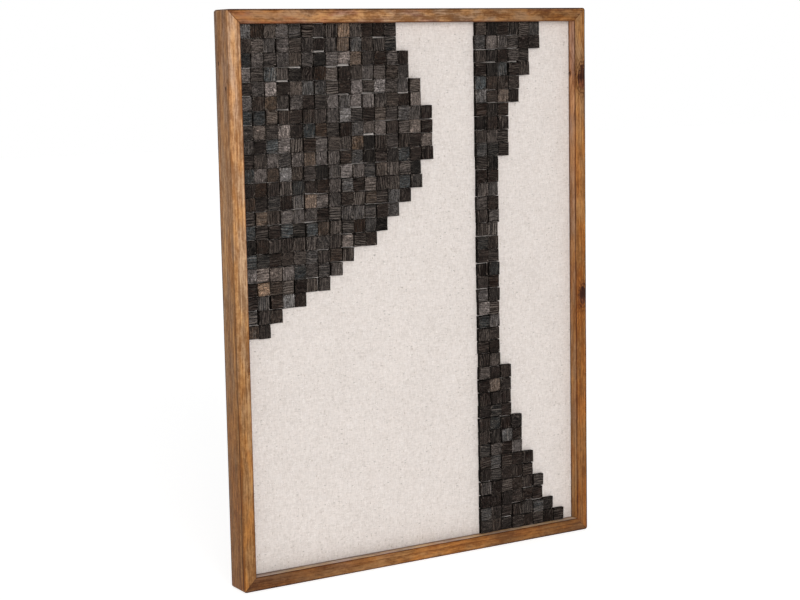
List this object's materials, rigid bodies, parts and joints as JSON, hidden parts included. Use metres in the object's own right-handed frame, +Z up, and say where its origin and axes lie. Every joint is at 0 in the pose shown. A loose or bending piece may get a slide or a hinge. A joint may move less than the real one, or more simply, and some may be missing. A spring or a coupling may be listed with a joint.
{
  "type": "wood relief wall panel",
  "caption": "Shadow-box wall panel: dark square wood blocks laid in a rounded lobe and a flared upright band on stretched linen, in a mitred wood frame.",
  "frame": {"origin": "on the back face of the top rail, halfway along it and in the middle of its height behind the rebate, where the panel is fixed to a wall", "axes": "+Y out of the back towards the wall, so the front faces -Y; +Z up the panel's height; +X to the right as seen from the front"},
  "size_m": [0.756, 0.05, 1.016],
  "materials": {
    "frame_wood": "honey-brown stain on pine, satin",
    "board": "bare hardboard, matt",
    "linen": "oatmeal linen, plain weave, matt",
    "block_wood": "charcoal-stained sawn wood, low sheen"
  },
  "bodies": {
    "root": {"backing_board": "board", "band_blocks_01": "block_wood", "band_blocks_02": "block_wood", "band_foot_blocks_03": "block_wood", "band_foot_blocks_04": "block_wood", "band_foot_blocks_05": "block_wood", "band_foot_blocks_06": "block_wood", "band_foot_blocks_07": "block_wood", "band_foot_blocks_08": "block_wood", "band_head_blocks_03": "block_wood", "band_head_blocks_04": "block_wood", "band_head_blocks_05": "block_wood", "band_head_blocks_06": "block_wood", "frame_rail_bottom": "frame_wood", "frame_rail_left": "frame_wood", "frame_rail_right": "frame_wood", "frame_rail_top": "frame_wood", "linen": "linen", "lobe_blocks_01": "block_wood", "lobe_blocks_02": "block_wood", "lobe_blocks_03": "block_wood", "lobe_blocks_04": "block_wood", "lobe_blocks_05": "block_wood", "lobe_blocks_06": "block_wood", "lobe_blocks_07": "block_wood", "lobe_blocks_08": "block_wood", "lobe_blocks_09": "block_wood", "lobe_blocks_10": "block_wood", "lobe_blocks_11": "block_wood", "lobe_blocks_12": "block_wood", "lobe_blocks_13": "block_wood", "lobe_blocks_14": "block_wood", "lobe_blocks_15": "block_wood", "lobe_blocks_16": "block_wood"}
  },
  "joints": []
}
